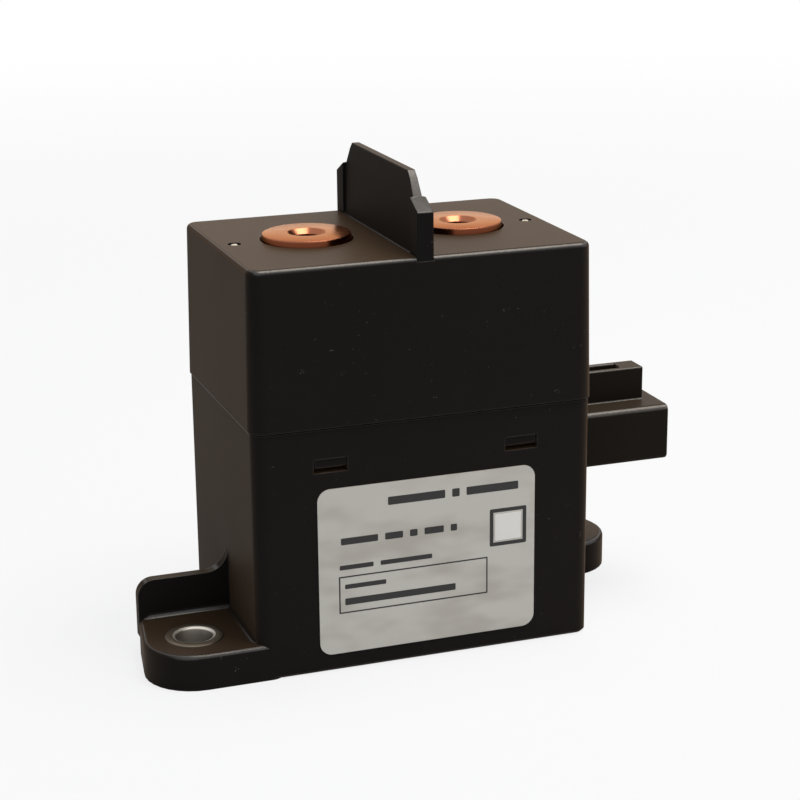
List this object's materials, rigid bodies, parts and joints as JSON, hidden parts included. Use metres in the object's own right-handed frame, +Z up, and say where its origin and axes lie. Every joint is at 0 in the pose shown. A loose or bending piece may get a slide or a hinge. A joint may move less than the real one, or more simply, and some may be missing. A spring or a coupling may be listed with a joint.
{
  "type": "high voltage dc contactor",
  "caption": "Sealed high voltage direct current contactor: moulded case with two diagonal screw feet, two threaded copper terminals, an arc barrier and a side coil connector.",
  "frame": {"origin": "middle of the case's underside, on the mounting plane", "axes": "+X towards the coil connector, +Y from the label to the back, +Z up through the terminals' axes"},
  "size_m": [0.1031, 0.045, 0.0866],
  "materials": {
    "case_plastic": "black moulded plastic, finely eroded surface",
    "cover_plastic": "black moulded plastic, finely eroded surface with pale dust",
    "label_foil": "silver foil label, satin, without print that names anything",
    "bushing_steel": "turned steel bushing",
    "terminal_copper": "turned bare copper, satin",
    "sealing_metal": "drawn nickel iron sheet",
    "white_ceramic": "unglazed alumina",
    "shield_plastic": "cream insulating plastic",
    "magnet_ferrite": "pressed ferrite",
    "frame_steel": "zinc plated soft iron",
    "bobbin_plastic": "dark moulded bobbin",
    "enamelled_wire": "enamelled copper wire",
    "damper_rubber": "black rubber pad",
    "rod_steel": "ground stainless steel",
    "spring_wire": "drawn spring wire",
    "pin_metal": "tin plated pin",
    "lead_insulation": "red wire insulation"
  },
  "bodies": {
    "housing": {"lower_case": "case_plastic", "upper_cover": "cover_plastic", "arc_barrier": "cover_plastic", "rating_label": "label_foil", "foot_bushing_left": "bushing_steel", "foot_bushing_right": "bushing_steel", "terminal_left": "terminal_copper", "terminal_right": "terminal_copper", "terminal_collar_left": "sealing_metal", "terminal_collar_right": "sealing_metal", "ceramic_chamber": "white_ceramic", "chamber_skirt": "sealing_metal", "arc_shield": "shield_plastic", "magnet_front": "magnet_ferrite", "magnet_back": "magnet_ferrite", "magnet_band": "frame_steel", "exhaust_tube": "terminal_copper", "top_plate": "frame_steel", "u_frame": "frame_steel", "yoke_bush": "frame_steel", "coil_bobbin": "bobbin_plastic", "coil_winding": "enamelled_wire", "plunger_sleeve": "sealing_metal", "damper_pad": "damper_rubber", "fixed_core": "frame_steel", "return_spring": "spring_wire", "connector_housing": "case_plastic", "coil_pin_front": "pin_metal", "coil_pin_back": "pin_metal", "coil_lead_front": "lead_insulation", "coil_lead_back": "lead_insulation"},
    "plunger": {"moving_core": "frame_steel", "push_rod": "rod_steel", "spring_seat": "rod_steel", "contact_spring": "spring_wire", "rod_clip": "spring_wire"},
    "bridge": {"contact_bridge": "terminal_copper"}
  },
  "joints": [
    {"name": "plunger_slide", "type": "slide", "parent": "housing", "child": "plunger", "axis": [0, 0, 1], "range_m": [0, 0.0023], "stiffness_N_per_m": 600, "springref_m": -0.005, "deforming": ["return_spring"]},
    {"name": "bridge_overtravel", "type": "slide", "parent": "plunger", "child": "bridge", "axis": [0, 0, 1], "range_m": [-0.00055, 0], "deforming": ["contact_spring"]}
  ],
  "couplings": [
    {"joint": "bridge_overtravel", "follows": "plunger_slide", "ratio": -0.22609}
  ]
}
